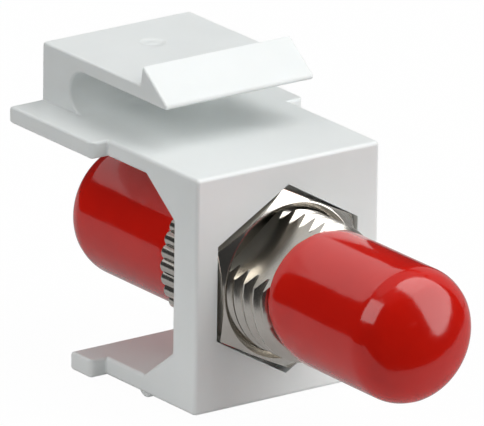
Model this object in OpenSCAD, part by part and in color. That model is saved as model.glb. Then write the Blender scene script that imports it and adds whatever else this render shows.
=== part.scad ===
// ST fibre coupler held in a snap-in keystone housing, with a dust cap on each end.
// Frame: the front face lies in y = 0 and faces -Y, the coupler's axis is the Y axis, Z is up.
// Millimetres, real size.

/* [Housing] */
// Width of the front face, which fills the panel opening
face_w = 14.5; // [14:0.1:15.5]
// Height of the front face
face_h = 16; // [15.6:0.1:17]
// Thickness of the front wall that the coupler is clamped to
front_wall = 2.6; // [2:0.1:3]
// Thickness of the upper wall and its ears
upper_wall = 1.15; // [1:0.05:1.4]
// Thickness of the lower wall and its ears
lower_wall = 1.24; // [1:0.02:1.4]
// Depth from the front face to the rear of the upper wall
housing_depth = 19.15; // [18.5:0.05:21]
// Depth from the front face to the rear of the lower wall
lower_depth = 12.05; // [11.4:0.05:13]
// Distance from the front face to the upper ears, where the panel stops
panel_stop = 9.9; // [9.6:0.1:10.4]
// Distance from the front face to the lower ears
lower_stop = 9.75; // [9.4:0.05:10.2]
// How far each ear stands out past the side of the face
ear_out = 1.23; // [0.9:0.01:1.5]
// Radius on the ears' free corners
ear_r = 0.5; // [0.2:0.05:0.55]
// Radius on the outer edges of the shell
edge_r = 0.3; // [0.1:0.05:0.4]
// Depth of the sloping webs that brace the front wall
gusset_run = 3.1; // [2.4:0.1:3.6]
// Height of the sloping webs
gusset_rise = 2.35; // [1.8:0.05:2.6]
// Height of the rounded rib under the lower wall
rib_h = 0.4; // [0.2:0.05:0.6]
// Width of the rounded rib, front to back
rib_w = 1.3; // [1:0.1:1.6]
// Distance from the front face to the middle of the rib
rib_y = 5.85; // [5:0.05:7]

/* [Latch] */
// Width of the latch arm and of its root
latch_w = 11.75; // [10:0.05:12.5]
// Clear height of the slot between the arm and the upper wall
slot_h = 2.95; // [2.6:0.05:3.4]
// Thickness of the arm
arm_t = 0.95; // [0.8:0.05:1.1]
// Length of the solid root behind the slot
root_len = 3.1; // [2.4:0.1:3.6]
// Thickness of the panel that is caught between the lip and the ears
panel_t = 1.6; // [1.4:0.1:1.8]
// Height of the catch lip above the arm
lip_h = 1.4; // [1.1:0.1:1.7]
// Length of the catch lip, from its back to the tip of the arm
lip_len = 2.88; // [2.4:0.02:3.4]
// How far the lip's back leans forward at its crest
lip_lean = 0.2; // [0:0.05:0.3]
// Height of the blunt nose below the lip's ramp
nose_h = 0.3; // [0.2:0.05:0.4]
// Diameter of the ejector mark on top of the root
mark_d = 1.8; // [1.4:0.1:2.2]
// Distance from the rear of the root to the middle of the ejector mark
mark_back = 4.05; // [3.6:0.05:4.6]

/* [Coupler] */
// Major diameter of the mounting thread
thread_d = 9.52; // [9.3:0.02:9.8]
// Distance from one thread crest to the next
thread_pitch = 1.058; // [0.9:0.001:1.2]
// How far the thread runs out in front of the face
thread_out = 3.8; // [3.4:0.1:4.2]
// Distance from the axis to the flat milled along the thread
flat_depth = 3.6; // [3.4:0.05:4]
// Direction that the flat faces, in degrees up from +X
flat_dir = 127; // [90:1:180]
// Outer diameter of the plain bayonet barrels
barrel_d = 7.3; // [7.2:0.02:7.4]
// Inner diameter of the bayonet barrels
socket_d = 6.1; // [5.9:0.05:6.2]
// Distance from the face to the end of the front barrel
front_reach = 13.3; // [12.6:0.1:14]
// Distance from the face to the end of the rear barrel
rear_reach = 17.1; // [16.4:0.1:18]
// How far the knurled collar stands out past the thread
collar_out = 0.54; // [0.45:0.01:0.8]
// Length of the knurled collar, back from the front wall
collar_len = 4.15; // [3.8:0.05:4.6]
// Number of rounded ridges on the collar
collar_ridges = 34; // [30:1:38]
// Radius of each ridge
ridge_r = 0.52; // [0.5:0.01:0.56]
// Width of the key slot in each barrel's mouth
key_w = 1.7; // [1.4:0.1:2]
// Length of the key slot
key_len = 4.4; // [3.6:0.1:5]
// Diameter of the bayonet pins
pin_d = 1.2; // [1:0.05:1.4]
// Diameter across the two bayonet pins of a barrel
pins_across = 8.2; // [8:0.02:8.22]
// Distance from the barrel's end to the middle of the bayonet pins
pin_back = 3.9; // [3.5:0.1:4.2]

/* [Sleeve] */
// Bore of the alignment sleeve, which takes the ferrule
ferrule_d = 2.5; // [2.4:0.01:2.6]
// Wall of the alignment sleeve
sleeve_wall = 0.35; // [0.3:0.01:0.4]
// Length of the alignment sleeve
sleeve_len = 11; // [10.4:0.1:11.4]
// Width of the slit along the alignment sleeve
sleeve_slit = 0.4; // [0.3:0.05:0.6]
// Wall of the sleeve holders
holder_wall = 0.8; // [0.6:0.05:0.85]
// Thickness of the lip that keeps the sleeve in its holder
holder_lip = 0.5; // [0.4:0.05:0.7]
// How far that lip covers the end of the sleeve
lip_cover = 0.14; // [0.1:0.01:0.16]
// Thickness of each holder's flange
holder_flange = 1; // [0.8:0.05:1.1]
// How far each holder's flange stands out from its tube
flange_out = 0.9; // [0.7:0.05:0.95]

/* [Nut] */
// Wall of the hexagon nut between the thread and its flats
nut_rim = 0.79; // [0.7:0.01:1]
// Thickness of the nut
nut_t = 0.7; // [0.68:0.02:0.9]
// Depth of the countersink in the nut's face
nut_sink = 0.4; // [0.3:0.05:0.45]
// How far the round edge of the nut's face lies inside its flats
nut_ease = 0.18; // [0.1:0.02:0.24]
// Slope of the chamfer that rounds the nut's corners, in degrees
nut_chamfer = 30; // [20:1:32]

/* [Dust caps] */
// Outer diameter of the dust caps
cap_d = 9.1; // [9.08:0.02:9.3]
// Wall of the caps' closed ends
cap_wall = 0.85; // [0.7:0.01:0.86]
// Radius of the rounded shoulder of each cap
cap_shoulder = 2.2; // [1.8:0.1:2.6]
// Radius of the shallow dome that closes each cap
cap_dome = 8; // [7:0.5:10]
// How far each cap's end stands past the barrel inside it
cap_past = 2.27; // [2.2:0.01:2.6]
// Gap between the thread and the longest side of the front cap's rim
front_cap_gap = 0.07; // [0.05:0.01:0.6]
// Gap between the collar and the rear cap's rim
rear_cap_gap = 0.52; // [0.3:0.02:1]
// Angle at which the front cap's rim is trimmed, in degrees
rim_slant = 12.4; // [0:0.2:14]
// Direction of the longest side of the slanted rim, in degrees up from +X
rim_dir = 145; // [90:1:200]

/* [Hidden] */
$fn = 64;
corner_steps = 5;       // straight steps in each small rounded corner of an outline
cut = 0.5;              // how far a cutting tool runs past what it cuts
slip = 0.05;            // clearance of a piece that slides in or over another
press = 0.01;           // clearance of a piece that is pressed in for good

half_w = face_w / 2;
half_h = face_h / 2;
arm_low = half_h + slot_h;
arm_high = arm_low + arm_t;
lip_back = panel_stop - panel_t;
tip_y = lip_back - lip_len;
slot_r = slot_h / 2;
slot_y = housing_depth - root_len - slot_r;
knuckle_r = arm_t / 2;
stub_len = 0.675;       // first stretch of the arm, which stays with the root
knuckle_y = slot_y - stub_len;
knuckle_z = arm_low + knuckle_r;

thread_r = thread_d / 2;
thread_depth = 0.61 * thread_pitch;
thread_root = thread_r - thread_depth;
barrel_r = barrel_d / 2;
barrel_nose = 0.25;     // bevel outside each barrel's mouth
mouth_bevel = 0.2;      // bevel inside it
socket_r = socket_d / 2;
collar_r = thread_r + collar_out;
collar_end = front_wall + collar_len;
collar_room = 0.15;     // clearance around the collar where it sits between the webs
ridge_circle = collar_r - ridge_r;
coupler_mid = (rear_reach - front_reach) / 2;

sleeve_in = ferrule_d / 2;
sleeve_out = sleeve_in + sleeve_wall;
holder_in = sleeve_out + slip;
holder_out = holder_in + holder_wall;
holder_half = sleeve_len / 2 + holder_lip + 6 * slip;
flange_gap = 0.2;       // from the collar's front to the recess for the holders' flanges
flange_r = holder_out + flange_out;
flange_y = front_wall + flange_gap;
flange_mid = flange_y + holder_flange;
spigot_y = flange_mid + holder_flange;
web_t = 0.5;            // thickness of the webs that close the barrels around the holders
web_bite = 0.12;        // how far a web runs into the barrel that it joins
lip_r = 0.12;           // radius on the catch lip's crest and nose
lip_foot_r = 0.35;      // radius in the corner behind the catch lip
mark_deep = 0.08;
mark_ring = 0.15;

cap_r = cap_d / 2;
pins_r = pins_across / 2;
cap_bore_r = norm([pins_r, pin_d / 2]) + slip;
cap_grip_r = barrel_r + slip;
pin_gap = 0.37;         // from a cap's gripping bore to the bayonet pins
cap_grip_len = cap_past + pin_back - pin_d / 2 - pin_gap;
front_cap_len = front_reach + cap_past - thread_out - front_cap_gap;
rear_cap_len = rear_reach + cap_past - collar_end - rear_cap_gap;
shoulder_proud = 0.006; // lets the shoulder's arc cross the dome's instead of only touching it
nut_face_r = thread_r + nut_rim;
nut_corner = 2 * nut_face_r / sqrt(3);
nut_circle_r = nut_face_r - nut_ease;

// Points of a closed outline with rounded corners, where each corner is [x, y, radius]
function unit(v) = v / norm(v);
function corner(p, q, r) =
    let (a = unit([p.x - q.x, p.y - q.y]), b = unit([r.x - q.x, r.y - q.y]),
         half = acos(a * b) / 2, reach = q[2] / tan(half),
         centre = [q.x, q.y] + unit(a + b) * q[2] / sin(half),
         from = [q.x, q.y] + a * reach - centre, to = [q.x, q.y] + b * reach - centre,
         swing = 180 - 2 * half, side = sign(from.x * to.y - from.y * to.x))
    q[2] == 0 ? [[q.x, q.y]] :
    [for (i = [0 : corner_steps])
        let (t = side * swing * i / corner_steps)
        centre + [from.x * cos(t) - from.y * sin(t), from.x * sin(t) + from.y * cos(t)]];
function rounded(path) =
    let (n = len(path))
    [for (i = [0 : n - 1]) each corner(path[(i + n - 1) % n], path[i], path[(i + 1) % n])];

// Stands a side view, drawn as [y, z], across the width
module across(width) {
    rotate([90, 0, 90]) translate([0, 0, -width / 2]) linear_extrude(width) children();
}

// Stands a front view, drawn as [x, z], from one depth to another
module along(from, to) {
    translate([0, to, 0]) rotate([90, 0, 0]) linear_extrude(to - from) children();
}

// Turns a half section, drawn as [radius, y], about the coupler's axis
module turned() {
    rotate([-90, 0, 0]) rotate_extrude() children();
}

// Everything further from the axis than a distance, in one direction seen from the front
module beyond(distance, direction) {
    rotate(direction) translate([distance, -face_w]) square(2 * face_w);
}

// Side section of the shell: upper wall, front wall with its two webs, lower wall
module shell_section() {
    polygon(rounded([
        [0, -half_h, edge_r],
        [lower_depth, -half_h, edge_r],
        [lower_depth, lower_wall - half_h, edge_r],
        [front_wall + gusset_run, lower_wall - half_h, edge_r],
        [front_wall, lower_wall - half_h + gusset_rise, edge_r],
        [front_wall, half_h - upper_wall - gusset_rise, edge_r],
        [front_wall + gusset_run, half_h - upper_wall, edge_r],
        [housing_depth, half_h - upper_wall, edge_r],
        [housing_depth, half_h, edge_r],
        [0, half_h, edge_r]]));
}

// Outline of the face, seen from the front
module face_outline() {
    polygon(rounded([
        [-half_w, -half_h, edge_r], [half_w, -half_h, edge_r],
        [half_w, half_h, edge_r], [-half_w, half_h, edge_r]]));
}

// A pair of ears on one wall, seen from above between two depths
module ears(from, to, low, high) {
    w = half_w + ear_out;
    translate([0, 0, low]) linear_extrude(high - low)
        polygon(rounded([[-w, from, ear_r], [w, from, ear_r], [w, to, ear_r], [-w, to, ear_r]]));
}

// Root of the latch: it rises from the upper wall and rounds the end of the slot
module latch_root() {
    across(latch_w) difference() {
        polygon(rounded([
            [knuckle_y, half_h - upper_wall / 2, 0],
            [housing_depth, half_h - upper_wall / 2, 0],
            [housing_depth, arm_high, edge_r],
            [knuckle_y, arm_high, 0]]));
        translate([slot_y, half_h + slot_r]) circle(slot_r);
        translate([knuckle_y - cut, half_h]) square([slot_y - knuckle_y + cut, slot_h]);
        translate([knuckle_y, knuckle_z]) circle(knuckle_r + slip);
    }
}

module snap_rib() {
    rib_r = (rib_w * rib_w / 4 + rib_h * rib_h) / (2 * rib_h);
    across(face_w - 2 * edge_r) intersection() {
        translate([rib_y, rib_r - half_h - rib_h]) circle(rib_r);
        translate([rib_y - rib_w, -half_h - 2 * rib_h]) square([2 * rib_w, 2 * rib_h + lower_wall / 2]);
    }
}

module housing() {
    color([0.93, 0.94, 0.93]) difference() {
        union() {
            intersection() {
                across(face_w + 2 * ear_out) shell_section();
                along(-cut, housing_depth + cut) face_outline();
            }
            ears(panel_stop, housing_depth, half_h - upper_wall, half_h);
            ears(lower_stop, lower_depth, -half_h, lower_wall - half_h);
            latch_root();
            snap_rib();
        }
        along(-cut, front_wall + cut) circle(thread_r + 2 * slip);
        along(front_wall, collar_end) circle(collar_r + collar_room);
        translate([0, housing_depth - mark_back, arm_high - mark_deep]) difference() {
            cylinder(d = mark_d, h = cut);
            cylinder(d = mark_d - 2 * mark_ring, h = cut);
        }
    }
}

// Flexing arm with its catch lip. Its round rear end turns in the root, where the real one bends.
module latch_arm() {
    color([0.93, 0.94, 0.93]) across(latch_w) {
        polygon(rounded([
            [knuckle_y, arm_low, 0],
            [knuckle_y, arm_high, 0],
            [lip_back, arm_high, lip_foot_r],
            [lip_back - lip_lean, arm_high + lip_h, lip_r],
            [tip_y, arm_low + nose_h, lip_r],
            [tip_y, arm_low, lip_r]]));
        translate([knuckle_y, knuckle_z]) circle(knuckle_r);
    }
}

// Section of the thread: a row of pointed ridges cut off at its front end
module thread_section(from, to) {
    crests = ceil((to - from) / thread_pitch);
    intersection() {
        union() {
            translate([socket_r, from]) square([thread_root - socket_r, to - from]);
            for (i = [0 : crests]) {
                translate([thread_root, from + i * thread_pitch]) polygon([
                    [-cut, -thread_pitch / 2], [0, -thread_pitch / 2],
                    [thread_depth, -thread_pitch / 16], [thread_depth, thread_pitch / 16],
                    [0, thread_pitch / 2], [-cut, thread_pitch / 2]]);
            }
        }
        translate([0, from]) square([thread_r, to - from]);
    }
}

// A bayonet barrel drawn as [radius, y], from its mouth at 0 to its foot
module barrel_section(length) {
    difference() {
        polygon([
            [socket_r, 0], [barrel_r - barrel_nose, 0], [barrel_r, barrel_nose],
            [barrel_r, length], [socket_r, length]]);
        polygon([
            [0, -cut], [socket_r + mouth_bevel, -cut], [socket_r + mouth_bevel, 0],
            [socket_r, mouth_bevel], [0, mouth_bevel]]);
    }
}

// Key slot in the top of a barrel's mouth, and the two holes for its bayonet pins
module barrel_cuts(mouth, inward) {
    translate([-key_w / 2, min(mouth, mouth + inward * key_len) - (inward > 0 ? cut : 0), 0])
        cube([key_w, key_len + cut, barrel_r + cut]);
    translate([0, mouth + inward * pin_back, 0]) rotate([0, 90, 0])
        cylinder(d = pin_d + 2 * press, h = 2 * (barrel_r + cut), center = true);
}

// Ridged outline of the collar, seen from the front
module collar_outline() {
    circle(ridge_circle + ridge_r / 4);
    for (i = [0 : collar_ridges - 1])
        rotate(360 * i / collar_ridges) translate([ridge_circle, 0]) circle(ridge_r, $fn = 24);
}

// Front half: plain barrel, thread with its flat, and the collar that clamps behind the wall
module coupler_body() {
    thread_end = front_wall;
    web_y = coupler_mid - holder_half - web_t;
    color([0.78, 0.77, 0.72]) difference() {
        union() {
            turned() translate([0, -front_reach]) barrel_section(front_reach - thread_out);
            difference() {
                turned() thread_section(-thread_out, thread_end);
                along(-thread_out - cut, thread_end) beyond(flat_depth, flat_dir);
            }
            along(thread_end, collar_end) collar_outline();
            turned() translate([holder_out + slip, web_y])
                square([socket_r + web_bite - holder_out - slip, thread_end - web_y]);
        }
        turned() translate([0, web_y - cut])
            square([holder_out + slip, collar_end - web_y + 2 * cut]);
        turned() translate([0, flange_y]) square([flange_r + slip, collar_end]);
        barrel_cuts(-front_reach, 1);
    }
}

// Rear half: its spigot is pressed into the collar and holds both sleeve holders in place
module rear_barrel() {
    web_end = coupler_mid + holder_half + web_t;
    color([0.78, 0.77, 0.72]) difference() {
        union() {
            turned() translate([0, rear_reach]) mirror([0, 1]) barrel_section(rear_reach - web_end + web_bite);
            turned() translate([holder_out + slip, collar_end])
                square([barrel_r - holder_out - slip, web_end - collar_end]);
            turned() translate([holder_out + slip, spigot_y])
                square([flange_r + slip - press - holder_out - slip, collar_end - spigot_y]);
        }
        barrel_cuts(rear_reach, -1);
    }
}

// Two pins pressed into a barrel, one on each side
module bayonet_pins(y) {
    color([0.8, 0.79, 0.75]) for (side = [0, 180])
        translate([0, y, 0]) rotate([0, 90, side]) translate([0, 0, socket_r])
            cylinder(d = pin_d, h = pins_r - socket_r);
}

// Half section of a sleeve holder: lip, tube and flange, drawn from its lip to its flange
module holder_section(length) {
    translate([sleeve_out - lip_cover, 0]) square([holder_out - sleeve_out + lip_cover, holder_lip]);
    translate([holder_in, 0]) square([holder_wall, length]);
    translate([holder_in, length - holder_flange]) square([flange_r - holder_in, holder_flange]);
}

module front_sleeve_holder() {
    lip_y = coupler_mid - holder_half;
    color([0.72, 0.6, 0.36]) turned() translate([0, lip_y]) holder_section(flange_mid - lip_y);
}

module rear_sleeve_holder() {
    lip_y = coupler_mid + holder_half;
    color([0.72, 0.6, 0.36]) turned() translate([0, lip_y]) mirror([0, 1])
        holder_section(lip_y - flange_mid);
}

// Split sleeve that lines up the two ferrules
module alignment_sleeve() {
    color([0.95, 0.94, 0.9]) difference() {
        turned() translate([sleeve_in, coupler_mid - sleeve_len / 2])
            square([sleeve_wall, sleeve_len]);
        translate([-sleeve_slit / 2, coupler_mid - sleeve_len / 2 - cut, -sleeve_out - cut])
            cube([sleeve_slit, sleeve_len + 2 * cut, sleeve_out + cut]);
    }
}

// Thin nut with chamfered corners and a countersunk, threaded hole
module hex_nut() {
    hole_r = thread_r + slip;
    color([0.8, 0.79, 0.75]) intersection() {
        along(-nut_t, 0) difference() {
            rotate(30) circle(nut_corner, $fn = 6);
            circle(hole_r);
        }
        turned() difference() {
            polygon([
                [0, -nut_t], [nut_circle_r, -nut_t],
                [nut_corner + cut, -nut_t + (nut_corner + cut - nut_circle_r) * tan(nut_chamfer)],
                [nut_corner + cut, cut], [0, cut]]);
            polygon([
                [0, -nut_t - cut], [hole_r + nut_sink + cut, -nut_t - cut],
                [hole_r, -nut_t + nut_sink], [0, -nut_t + nut_sink]]);
        }
    }
}

// Half outline of a domed cap, drawn as [radius, height] with its tip at height 0
module dome_section(r, shoulder, dome, length) {
    side = r - shoulder;
    rise = sqrt(pow(dome - shoulder, 2) - side * side) + shoulder_proud;
    shoulder_y = rise - dome;
    intersection() {
        union() {
            translate([0, -length]) square([r, length + shoulder_y]);
            translate([side, shoulder_y]) circle(shoulder);
            intersection() {
                translate([0, -dome]) circle(dome, $fn = 128);
                polygon([[0, -dome], [side, shoulder_y] + [side, rise] * dome, [0, dome * dome]]);
            }
            translate([0, shoulder_y - cut]) square([side, cut]);
        }
        translate([0, -length]) square([r, length + dome]);
    }
}

// A soft cap: it grips the barrel's nose, and its wider bore passes over the bayonet pins
module cap_section(length) {
    difference() {
        dome_section(cap_r, cap_shoulder, cap_dome, length);
        translate([0, -cap_wall])
            dome_section(cap_grip_r, cap_shoulder - cap_wall, cap_dome - cap_wall, length);
        translate([0, -length - cut]) square([cap_bore_r, length + cut - cap_grip_len]);
    }
}

module front_dust_cap() {
    tip = -front_reach - cap_past;
    rim = tip + front_cap_len;
    trim = 4 * cap_r;
    color([0.8, 0.08, 0.05]) difference() {
        turned() translate([0, tip]) mirror([0, 1]) cap_section(front_cap_len + cut);
        rotate([0, -rim_dir, 0]) translate([cap_r, rim, 0]) rotate([0, 0, rim_slant])
            translate([-trim, 0, -trim]) cube(2 * trim);
    }
}

module rear_dust_cap() {
    color([0.8, 0.08, 0.05]) turned() translate([0, rear_reach + cap_past]) cap_section(rear_cap_len);
}

housing();
latch_arm();
coupler_body();
rear_barrel();
bayonet_pins(pin_back - front_reach);  // front_bayonet_pins
bayonet_pins(rear_reach - pin_back);  // rear_bayonet_pins
front_sleeve_holder();
rear_sleeve_holder();
alignment_sleeve();
hex_nut();
front_dust_cap();
rear_dust_cap();
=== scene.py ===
# %% [markdown]
# # A fibre coupler in its keystone housing
#
# The object is a metal coupler for two fibre plugs. It is clamped in a white
# plastic housing that snaps into a wall plate, and a soft red cap keeps dust
# out of each end. The working solids come from the frame. Here the pieces
# that show are modelled again with rounded edges, a true screw thread and the
# finish of moulded plastic, plated brass and dipped vinyl.

# %% Open the frame
import math

import bmesh
import bpy
from mathutils import Matrix, Vector, noise


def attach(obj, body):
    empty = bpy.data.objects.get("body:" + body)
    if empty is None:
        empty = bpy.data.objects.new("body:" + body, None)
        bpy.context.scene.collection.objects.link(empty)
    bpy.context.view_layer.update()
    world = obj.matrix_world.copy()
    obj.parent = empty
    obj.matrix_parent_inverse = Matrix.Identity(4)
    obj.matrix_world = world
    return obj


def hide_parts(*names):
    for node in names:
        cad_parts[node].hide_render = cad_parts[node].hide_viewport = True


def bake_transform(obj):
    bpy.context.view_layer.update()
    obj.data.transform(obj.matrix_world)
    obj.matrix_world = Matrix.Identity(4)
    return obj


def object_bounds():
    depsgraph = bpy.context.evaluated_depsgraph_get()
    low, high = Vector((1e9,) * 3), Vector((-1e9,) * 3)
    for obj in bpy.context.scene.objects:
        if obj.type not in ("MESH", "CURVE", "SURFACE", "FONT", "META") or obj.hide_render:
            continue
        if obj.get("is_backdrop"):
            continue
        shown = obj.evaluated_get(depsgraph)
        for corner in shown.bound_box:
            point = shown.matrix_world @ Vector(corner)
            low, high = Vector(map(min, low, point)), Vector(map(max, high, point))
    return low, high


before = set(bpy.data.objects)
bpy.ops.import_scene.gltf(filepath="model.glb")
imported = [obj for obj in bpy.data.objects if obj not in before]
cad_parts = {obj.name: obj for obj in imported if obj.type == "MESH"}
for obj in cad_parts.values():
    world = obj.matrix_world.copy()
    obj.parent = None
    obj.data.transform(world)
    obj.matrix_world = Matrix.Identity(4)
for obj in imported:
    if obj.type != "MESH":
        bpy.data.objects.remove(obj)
solid_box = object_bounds()
for corner in solid_box:
    print("solids reach", [round(v * 1000, 2) for v in corner], "mm")

# %% [markdown]
# ## Camera
#
# The picture was taken with a long lens from the left and a little above. A
# long lens keeps the edges of so small an object nearly parallel. The camera
# is placed by its two angles and its distance, with the small tilt of the
# picture added as a turn about the line of sight.

# %% Camera
AZIMUTH, ELEVATION, TILT = (math.radians(v) for v in (-36.275, 18.730, 0.819))
AIM = Vector((-3.689, 0, 5.163)) * 0.001
DISTANCE = 0.9


def towards(azimuth, elevation):
    """Unit vector from the object to something at that bearing and height."""
    level = math.cos(elevation)
    return Vector((math.sin(azimuth) * level, -math.cos(azimuth) * level, math.sin(elevation)))


back = towards(AZIMUTH, ELEVATION)
right = Vector((0, 0, 1)).cross(back).normalized()
turned = Matrix((right, back.cross(right), back)).transposed() @ Matrix.Rotation(TILT, 3, "Z")
lens = bpy.data.cameras.new("picture_camera")
lens.lens, lens.sensor_width = 1046.56, 36
lens.clip_start, lens.clip_end = 0.1, 20
camera = bpy.data.objects.new("picture_camera", lens)
camera.matrix_world = Matrix.Translation(AIM + back * DISTANCE) @ turned.to_4x4()
bpy.context.collection.objects.link(camera)
bpy.context.scene.camera = camera
print("camera at", [round(v, 3) for v in camera.matrix_world.translation])

# %% [markdown]
# ## Node maths in Python
#
# A finish is a small sum: so much grain, so much drift of tone. Written as
# nodes one by one, such sums are hard to read. The two classes below let an
# output socket be used with plus, minus, times and power signs, and let any
# other node be made by one call that takes its settings first and its sockets
# after.

# %% Shader helpers
class Signal:
    """One output of a node tree, for use in Python sums."""

    def __init__(self, graph, socket):
        self.graph, self.socket = graph, socket

    def maths(self, operation, first, second):
        return self.graph.add("ShaderNodeMath", {"operation": operation}, {0: first, 1: second})

    def __add__(self, other):
        return self.maths("ADD", self, other)

    def __sub__(self, other):
        return self.maths("SUBTRACT", self, other)

    def __rsub__(self, other):
        return self.maths("SUBTRACT", other, self)

    def __mul__(self, other):
        return self.maths("MULTIPLY", self, other)

    def __pow__(self, other):
        return self.maths("POWER", self, other)

    def __rpow__(self, other):
        return self.maths("POWER", other, self)

    __radd__, __rmul__ = __add__, __mul__


class Graph:
    """The node tree of a material or of the world."""

    def __init__(self, owner):
        owner.use_nodes = True
        self.tree = owner.node_tree
        self.tree.nodes.clear()

    def add(self, kind, settings=None, sockets=None, out=0):
        node = self.tree.nodes.new(kind)
        for name, value in (settings or {}).items():
            if name == "stops":
                self.set_stops(node.color_ramp, value)
            else:
                setattr(node, name, value)
        for name, value in (sockets or {}).items():
            if isinstance(value, Signal):
                self.tree.links.new(value.socket, node.inputs[name])
            else:
                node.inputs[name].default_value = value
        if isinstance(out, tuple):
            return [Signal(self, node.outputs[place]) for place in out]
        return Signal(self, node.outputs[out]) if len(node.outputs) else None

    def set_stops(self, ramp, stops):
        while len(ramp.elements) < len(stops):
            ramp.elements.new(1)
        for element, (place, grey) in zip(ramp.elements, stops):
            element.position, element.color = place, (grey, grey, grey, 1)

    def position_mm(self):
        """Place on the piece, in millimetres."""
        place = self.add("ShaderNodeTexCoord", out="Object")
        return self.add("ShaderNodeVectorMath", {"operation": "SCALE"}, {0: place, "Scale": 1000.0})

    def speckle(self, place, per_mm, detail=2.0, rough=0.5):
        """Soft random values from 0 to 1, with so many swings a millimetre."""
        return self.add("ShaderNodeTexNoise", None,
                        {"Vector": place, "Scale": per_mm, "Detail": detail, "Roughness": rough})

    def ramp(self, value, stops):
        return self.add("ShaderNodeValToRGB", {"stops": stops}, {"Fac": value})

    def between(self, amount, first, second):
        """A colour between two, by an amount from 0 to 1."""
        colours = [(*c, 1.0) if isinstance(c, tuple) else c for c in (first, second)]
        return self.add("ShaderNodeMix", {"data_type": "RGBA"},
                        {0: amount, 6: colours[0], 7: colours[1]}, out=2)

    def bump(self, height, depth_mm):
        """Normals of a surface that rises and falls by that depth."""
        return self.add("ShaderNodeBump", None,
                        {"Height": height, "Distance": depth_mm * 0.001, "Strength": 1.0})


def finish_of(name, make):
    """A new material whose surface is described by a function of its graph."""
    material = bpy.data.materials.new(name)
    graph = Graph(material)
    surface = graph.add("ShaderNodeBsdfPrincipled", None, make(graph))
    graph.add("ShaderNodeOutputMaterial", None, {"Surface": surface})
    print("finish", name, "has", len(graph.tree.nodes), "nodes")
    return material

# %% [markdown]
# ## White moulding
#
# The housing is a satin white plastic, slightly cool. A moulded surface isn't
# even: the tone drifts over a few millimetres where the melt cooled, and the
# tool leaves a fine grain that only shows where light glances off it. Both
# are noise at their own scale, the first in the colour, the second in the
# gloss and in a bump a few thousandths of a millimetre deep.

# %% White plastic
def white_surface(graph):
    place = graph.position_mm()
    drift = graph.speckle(place, 0.22, 3.0)
    grain = graph.speckle(place, 11.0, 3.0, 0.6)
    scuffs = graph.ramp(graph.speckle(place, 2.6, 4.0, 0.7), [(0.62, 0.0), (0.78, 1.0)])
    return {
        "Base Color": graph.between(drift, (0.79, 0.82, 0.815), (0.85, 0.878, 0.872)),
        "Roughness": 0.31 + 0.08 * grain + 0.05 * scuffs,
        "IOR": 1.5,
        "Subsurface Weight": 0.12,
        "Subsurface Radius": (1.0, 0.9, 0.8),
        "Subsurface Scale": 0.0006,
        "Normal": graph.bump(0.8 * grain + 0.2 * scuffs, 0.004),
    }


white_plastic = finish_of("white_plastic_satin", white_surface)

# %% [markdown]
# ## Nickel plate
#
# The coupler is turned from brass and plated with nickel. The plate is bright
# but keeps the lathe's rings, which run round the axis, so their pattern
# depends only on the radius and the depth. The shine is a little uneven, and
# a faint grit stops it from looking like a mirror. The thread's plate looks
# grainier, with small dark pits. The nut's six sides are painted nearly black:
# painted shade that stands for the dark gap between the nut and its pocket.

# %% Nickel
def turned_rings(graph, place, per_mm):
    """Noise that is the same all the way round the coupler's axis."""
    across, along, up = graph.add("ShaderNodeSeparateXYZ", None, {0: place}, out=(0, 1, 2))
    radius = (across * across + up * up) ** 0.5
    ring = graph.add("ShaderNodeCombineXYZ", None, {0: radius, 1: along})
    return graph.speckle(ring, per_mm, 3.0, 0.6)


def nickel_surface(graph):
    place = graph.position_mm()
    rings = turned_rings(graph, place, 13.0)
    cloud = graph.speckle(place, 1.1, 4.0, 0.6)
    grit = graph.speckle(place, 26.0, 2.0)
    return {
        "Base Color": graph.between(cloud, (0.80, 0.775, 0.725), (0.70, 0.665, 0.61)),
        "Metallic": 1.0,
        "Roughness": 0.10 + 0.12 * cloud + 0.08 * rings,
        "Normal": graph.bump(0.7 * rings + 0.3 * grit, 0.0035),
    }


def thread_surface(graph):
    place = graph.position_mm()
    cloud = graph.speckle(place, 1.1, 4.0, 0.6)
    grain = graph.speckle(place, 6.5, 4.0, 0.65)
    pits = graph.ramp(graph.speckle(place, 3.2, 3.0, 0.6), [(0.56, 0.0), (0.66, 1.0)])
    return {
        "Base Color": graph.between(pits, (0.79, 0.765, 0.715), (0.30, 0.27, 0.23)),
        "Metallic": 1.0,
        "Roughness": 0.12 + 0.14 * cloud + 0.12 * pits,
        "Normal": graph.bump(grain - 0.6 * pits, 0.03),
    }


# Painted shade: a near-black metal for the nut's sides, standing for the shaded gap round the nut, with
# a random drift of tone.
def gap_shade_surface(graph):
    place = graph.position_mm()
    mottle = graph.speckle(place, 1.6, 4.0, 0.65)
    along_bar = (9.0, 0.8, 9.0)
    drawn = graph.add("ShaderNodeVectorMath", {"operation": "MULTIPLY"}, {0: place, 1: along_bar})
    streak = graph.speckle(drawn, 1.0, 3.0)
    return {
        "Base Color": graph.between(mottle, (0.13, 0.10, 0.085), (0.055, 0.045, 0.04)),
        "Metallic": 0.9,
        "Roughness": 0.26 + 0.18 * streak,
        "Normal": graph.bump(streak, 0.006),
    }


nickel_plate = finish_of("nickel_plate_bright", nickel_surface)
nickel_thread = finish_of("nickel_plate_grained", thread_surface)
nut_sides_painted_shade = finish_of("nickel_sides_painted_shade", gap_shade_surface)

# %% [markdown]
# ## Red vinyl
#
# The caps are made by dipping a steel pin in liquid vinyl. The skin is deep
# red and glossy, but its surface swells slowly where the liquid ran, which
# bends the edges of every reflection. A few specks of dust sit on it, dull
# rather than raised. A little light travels inside the skin, so thin places
# and edges glow.

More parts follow.
